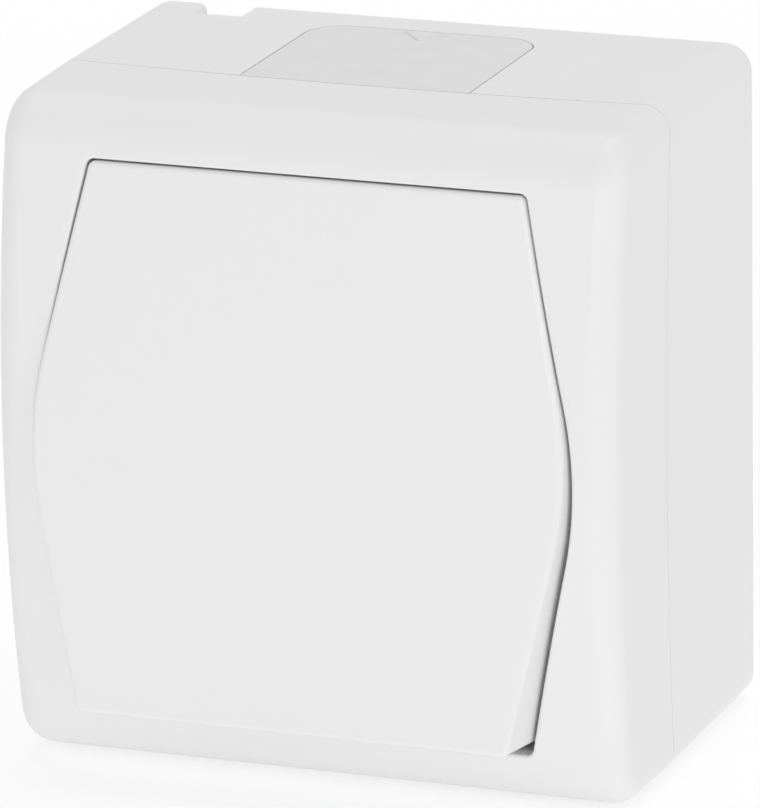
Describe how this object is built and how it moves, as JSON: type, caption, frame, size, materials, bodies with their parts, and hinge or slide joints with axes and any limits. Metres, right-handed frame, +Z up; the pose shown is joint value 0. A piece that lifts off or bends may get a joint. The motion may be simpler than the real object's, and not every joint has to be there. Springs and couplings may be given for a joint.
{
  "type": "two-way switch",
  "caption": "Surface-mounted two-way light switch for damp rooms: box-shaped housing, wide rocker key with curved sides, closed cable entry on top, changeover contact inside.",
  "frame": {"origin": "centre of the flat face that goes against the wall", "axes": "+Z up, +X to the right seen from the front, the rocker key faces -Y"},
  "size_m": [0.075, 0.0547, 0.0796],
  "materials": {
    "housing_plastic": "fine satin moulded surface",
    "key_plastic": "smooth satin moulded surface",
    "entry_elastomer": "fine matt texture",
    "seal_elastomer": "matt",
    "block_plastic": "moulded",
    "actuator_plastic": "moulded",
    "spring_steel": "drawn wire",
    "contact_copper": "rolled strip",
    "terminal_brass": "stamped strip",
    "silver_tips": "pressed rivet",
    "plated_steel": "zinc plated"
  },
  "bodies": {
    "housing": {"rear_box": "housing_plastic", "front_frame": "housing_plastic", "cable_entry_insert": "entry_elastomer", "rim_seal": "seal_elastomer", "well_seal": "seal_elastomer", "mechanism_base": "block_plastic", "mechanism_cover": "block_plastic", "common_terminal": "terminal_brass", "upper_terminal": "terminal_brass", "lower_terminal": "terminal_brass", "upper_fixed_tip": "silver_tips", "lower_fixed_tip": "silver_tips", "common_clamp_plate": "plated_steel", "upper_clamp_plate": "plated_steel", "lower_clamp_plate": "plated_steel", "common_clamp_screw": "plated_steel", "upper_clamp_screw": "plated_steel", "lower_clamp_screw": "plated_steel", "upper_frame_screw": "plated_steel", "lower_frame_screw": "plated_steel", "upper_mechanism_screw": "plated_steel", "lower_mechanism_screw": "plated_steel"},
    "rocker": {"rocker_key": "key_plastic", "actuator": "actuator_plastic", "plunger_spring": "spring_steel"},
    "plunger": {"plunger": "actuator_plastic"},
    "changeover": {"changeover_contact": "contact_copper", "upper_moving_tip": "silver_tips", "lower_moving_tip": "silver_tips"}
  },
  "joints": [
    {"name": "rocker_tilt", "type": "hinge", "parent": "housing", "child": "rocker", "pos_m": [0, -0.0415, 0], "axis": [1, 0, 0], "range_deg": [0, 14.4]},
    {"name": "plunger_slide", "type": "slide", "parent": "rocker", "child": "plunger", "axis": [0, -0.9921, 0.1253], "range_m": [0, 0.0015], "stiffness_N_per_m": 400, "springref_m": -0.001, "deforming": ["plunger_spring"]},
    {"name": "contact_tilt", "type": "hinge", "parent": "housing", "child": "changeover", "pos_m": [0, -0.02015, 0], "axis": [1, 0, 0], "range_deg": [-14, 0]}
  ],
  "couplings": [
    {"joint": "contact_tilt", "follows": "rocker_tilt", "ratio": -0.97222}
  ]
}
